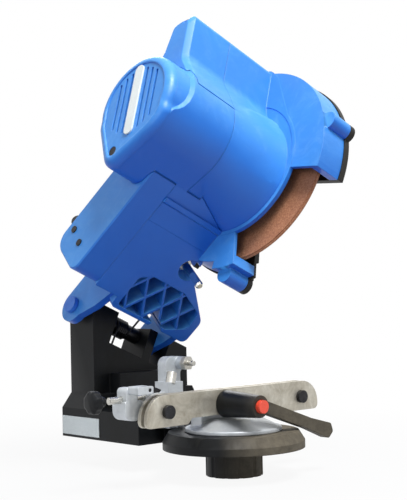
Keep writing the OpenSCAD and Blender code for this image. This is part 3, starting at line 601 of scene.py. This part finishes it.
def carve(piece, cutter):
    """Cut a throwaway object out of a piece and keep only the result."""
    bpy.context.collection.objects.link(cutter)
    cut = piece.modifiers.new("cut", "BOOLEAN")
    cut.object = cutter
    cut.operation = "DIFFERENCE"
    cut.solver = "EXACT"
    graph = bpy.context.evaluated_depsgraph_get()
    mesh = bpy.data.meshes.new_from_object(piece.evaluated_get(graph))
    piece.modifiers.remove(cut)
    piece.data = mesh
    bpy.data.objects.remove(cutter)


# Depth and inset of the rings of the cap, from its seam over the rounded rim to the slotted field
CAP_RINGS = ((CAP_Z + 0.2, 0.3), (CAP_Z, 0), (-119.5, 0.1), (-121.3, 0.6), (-122.8, 1.5),
             (-124.0, 2.8), (-124.7, 4.2), (CAP_FACE, 5.6), (CAP_FACE, 6.3), (-124.7, 6.9),
             (-124.0, 7.2))


def cap():
    """End cap, narrower where the thick part of the can stands back from it."""
    bm = bmesh.new()
    slim, full = tear(STEP), tear(0)
    rings = []
    for z, off in CAP_RINGS:
        ring = []
        for inner, outer, base in zip(slim, full, tear(off)):
            share = step_depth(angle_of(outer))
            shift = [(i - o) / STEP * share for i, o in zip(inner, outer)]
            ring.append((base[0] + shift[0], base[1] + shift[1], z))
        rings.append(ring)
    skin(bm, rings)
    piece = finish_mesh(bm, "cap_moulding", "blue_plastic", "head", 40, "end_cap")
    cap_slots(piece)
    piece.data.set_sharp_from_angle(angle=math.radians(40))


# Where the round casing of the solids is cut off: radius, depths, and the block beside it
CASING_R, CASING_END, GUARD_FACE = 57.3, -76, -14.4
CASING_BLOCK = [(0, -62), (35, -62), (50, -65), (73.5, -52), (73.5, -35), (53, 22), (0, 22)]
# The arm, which the cuts leave alone
ARM_KEPT = [(-140, -10.5), (-30, -10.5), (-30, 34.5), (-140, 34.5)]
# Width of the flare at the guard, against the angle in degrees
FLARE_R = [(-90, 53), (-30, 45), (10, 45), (75, 53)]
SADDLE = [(-62, -6), (-62, 32.9), (-30.5, 32.9), (-29.9, 33), (-18, 33), (-12, 12)]


def flare():
    """Rings of the round casing, from the can's radius out to the guard."""
    rings = []
    start = CAN_SEAM + 0.2
    for k in range(9):
        s = k / 8
        ring = []
        for i in range(120):
            angle = -180 + 3 * i
            r = CAN_R - 0.02 + (table(angle, FLARE_R) - CAN_R) * s ** 1.25
            ring.append((r * math.cos(math.radians(angle)), r * math.sin(math.radians(angle)),
                         start + s * (FLARE_END - start)))
        rings.append(ring)
    return rings


def guard_half():
    """Right half of the casing: the guard as built, with a slimmer round casing on it."""
    source = frame["nodes"]["guard_shell"]
    piece = bpy.data.objects.new("guard_casing", source.data.copy())
    bpy.context.collection.objects.link(piece)
    weld = bmesh.new()
    weld.from_mesh(piece.data)
    bmesh.ops.remove_doubles(weld, verts=weld.verts, dist=WELD)
    weld.to_mesh(piece.data)
    weld.free()

    for rings in ([disc_of((0, 0), CASING_R, z, 96) for z in (CASING_END, GUARD_FACE)],
                  [flat(CASING_BLOCK, z) for z in (CASING_END, GUARD_FACE)]):
        cutter = cutter_of(rings)
        bpy.context.collection.objects.link(cutter)
        carve(cutter, cutter_of([flat(ARM_KEPT, z) for z in (-80, 0)]))
        bpy.context.collection.objects.unlink(cutter)
        carve(piece, cutter)

    seam = CAN_SEAM + SEAM_GAP
    bm = bmesh.new()
    bm.from_mesh(piece.data)
    skin(bm, [flat(tear(0), seam), flat(tear(0), -48.6), flat(tear(0.6), -48)])
    skin(bm, flare())
    skin(bm, [flat(fin_outline(0), seam), flat(fin_outline(0), -13), flat(fin_outline(1.2), -10),
              flat(fin_outline(3), -8.6)])
    # The arm's front runs on into the round casing
    skin(bm, [flat(SADDLE, ARM_SEAM + 0.1), flat(SADDLE, -14.1)])
    skin(bm, [flat(rear_outline(0), seam), flat(rear_outline(0), -22),
              flat(rear_outline(2), -20)])
    bm.to_mesh(piece.data)
    bm.free()
    piece.data.materials.clear()
    piece.data.materials.append(MATERIALS["blue_plastic"])
    clean_shading(piece, 21)
    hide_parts("guard_shell")
    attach(piece, "head")


def squeeze(node, inside, factor):
    """Copy of an inner piece, drawn in beyond a radius to fit the slimmer casing."""
    piece = bpy.data.objects.new(node + "_fitted", frame["nodes"][node].data.copy())
    bpy.context.collection.objects.link(piece)
    for vertex in piece.data.vertices:
        offset = (vertex.co - DISC) * 1000
        a, b, c = offset.dot(UP_ARM), offset.dot(FORTH), offset.dot(MOTOR)
        r = math.hypot(a, b)
        if r > inside:
            k = (inside + (r - inside) * factor) / r
            vertex.co = at(a * k, b * k, c)
    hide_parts(node)
    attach(piece, "head" if node == "stator" else "spindle")


# Axis of the chain stop's rod in metres, and the profile of its knob (X and radius) in millimetres
ROD_Y, ROD_Z = -0.094, 0.040
KNOB_PROFILE = ((-115.9, 5.6), (-115.2, 7.0), (-114.2, 7.8), (-110.6, 7.9), (-109.6, 7.2),
                (-109.0, 5.0), (-108.6, 3.9), (-105.2, 3.5), (-104.2, 3.0))
KNOB_LOBES, LOBE_DEPTH = 8, 0.075


def rod_wheel():
    """Lobed knob on the end of the chain stop's rod."""
    bm = bmesh.new()
    rows = []
    for x, r in KNOB_PROFILE:
        depth = LOBE_DEPTH if r > 5.5 else 0
        ring = []
        for i in range(96):
            angle = 2 * math.pi * i / 96
            lobe = 1 - depth * (0.5 + 0.5 * math.cos(KNOB_LOBES * angle))
            ring.append(bm.verts.new((x * 0.001, ROD_Y + r * lobe * 0.001 * math.cos(angle),
                                      ROD_Z + r * lobe * 0.001 * math.sin(angle))))
        rows.append(ring)
    for one, two in zip(rows, rows[1:]):
        for i in range(96):
            j = (i + 1) % 96
            bm.faces.new((one[i], one[j], two[j], two[i]))
    bm.faces.new(rows[0][::-1])
    bm.faces.new(rows[-1])
    finish_mesh(bm, "rod_wheel", SLOTS["rod_knob"], "rod", 32, "rod_knob")


for node, width in SOFT.items():
    soften(node, width)
rod_wheel()
motor_half()
cap()
guard_half()
squeeze("stator", 33.8, 0.13)
squeeze("fan", 10, 0.84)


# ---------------------------------------------------------------- floor and light
FLOOR_Z = -0.0200
# The floor fades to white between these distances from the origin
FADE_START, FADE_END = 0.16, 0.42
# How far the floor is washed out for the camera beside the object
WASHED = 0.92
WORLD_LIGHT = 0.36


def make_floor():
    """White floor with a faint shadow, which runs out into the background."""
    bm = bmesh.new()
    bmesh.ops.create_grid(bm, x_segments=4, y_segments=4, size=3.0)
    mesh = bpy.data.meshes.new("floor")
    bm.to_mesh(mesh)
    bm.free()
    floor = bpy.data.objects.new("floor", mesh)
    floor.location = (0, 0, FLOOR_Z)
    bpy.context.collection.objects.link(floor)
    s = Shader("floor")
    s.set(Base_Color=s.ramp(s.noise(3, 2), [(0.3, (0.42, 0.43, 0.45)), (0.7, (0.46, 0.47, 0.49))]),
          Roughness=0.9)
    s.bsdf.inputs["Specular IOR Level"].default_value = 0.1
    reach = s.tree.nodes.new("ShaderNodeVectorMath")
    reach.operation = "LENGTH"
    s.link(s.coords, reach.inputs[0])
    fade = s.span(reach.outputs["Value"], 0.0, 1.0, FADE_START, FADE_END)
    bright = s.tree.nodes.new("ShaderNodeEmission")
    bright.inputs[0].default_value = (1, 1, 1, 1)
    path = s.tree.nodes.new("ShaderNodeLightPath")
    blend = s.tree.nodes.new("ShaderNodeMixShader")
    # The camera, reflections and glass see the nearly white floor; diffuse rays meet the grey one
    other = s.math("MAXIMUM", path.outputs["Is Glossy Ray"], path.outputs["Is Transmission Ray"])
    shown = s.math("MAXIMUM", path.outputs["Is Camera Ray"], other)
    seen = s.math("MULTIPLY", s.span(fade, WASHED, 1.0, 0.0, 1.0), shown)
    s.link(seen, blend.inputs[0])
    s.link(s.bsdf.outputs[0], blend.inputs[1])
    s.link(bright.outputs[0], blend.inputs[2])
    s.link(blend.outputs[0], s.out.inputs[0])
    mesh.materials.append(s.material)


def make_world():
    """Even light, seen as plain white by the camera and in reflections."""
    world = bpy.data.worlds.new("world")
    bpy.context.scene.world = world
    world.use_nodes = True
    tree = world.node_tree
    tree.nodes.clear()
    out = tree.nodes.new("ShaderNodeOutputWorld")
    light = tree.nodes.new("ShaderNodeBackground")
    light.inputs[0].default_value = (0.93, 0.96, 1.0, 1)
    light.inputs[1].default_value = WORLD_LIGHT
    white = tree.nodes.new("ShaderNodeBackground")
    white.inputs[0].default_value = (1, 1, 1, 1)
    white.inputs[1].default_value = 1.0
    path = tree.nodes.new("ShaderNodeLightPath")
    shown = path.outputs["Is Camera Ray"]
    for kind in ("Is Glossy Ray", "Is Transmission Ray"):
        either = tree.nodes.new("ShaderNodeMath")
        either.operation = "MAXIMUM"
        tree.links.new(shown, either.inputs[0])
        tree.links.new(path.outputs[kind], either.inputs[1])
        shown = either.outputs[0]
    mix = tree.nodes.new("ShaderNodeMixShader")
    tree.links.new(shown, mix.inputs[0])
    tree.links.new(light.outputs[0], mix.inputs[1])
    tree.links.new(white.outputs[0], mix.inputs[2])
    tree.links.new(mix.outputs[0], out.inputs[0])


def area(name, place, target, size, power, color=(1, 1, 1)):
    """Round lamp of a diameter in metres and a power in watts, aimed at a point."""
    data = bpy.data.lights.new(name, "AREA")
    data.shape = "DISK"
    data.size = size
    data.energy = power
    data.color = color
    lamp = bpy.data.objects.new(name, data)
    lamp.location = place
    lamp.rotation_euler = (Vector(target) - Vector(place)).to_track_quat("-Z", "Y").to_euler()
    bpy.context.collection.objects.link(lamp)


make_floor()
make_world()
area("key", (-0.05, -0.65, 1.2), (0.02, -0.05, 0.16), 0.6, 21, (1.0, 0.99, 0.97))
area("fill", (-1.1, -0.35, 0.6), (0, -0.05, 0.14), 0.7, 3.0, (0.95, 0.98, 1.0))
area("rim", (0.7, 0.9, 0.8), (0, 0, 0.15), 0.6, 7)

bpy.context.scene.view_settings.view_transform = "Standard"
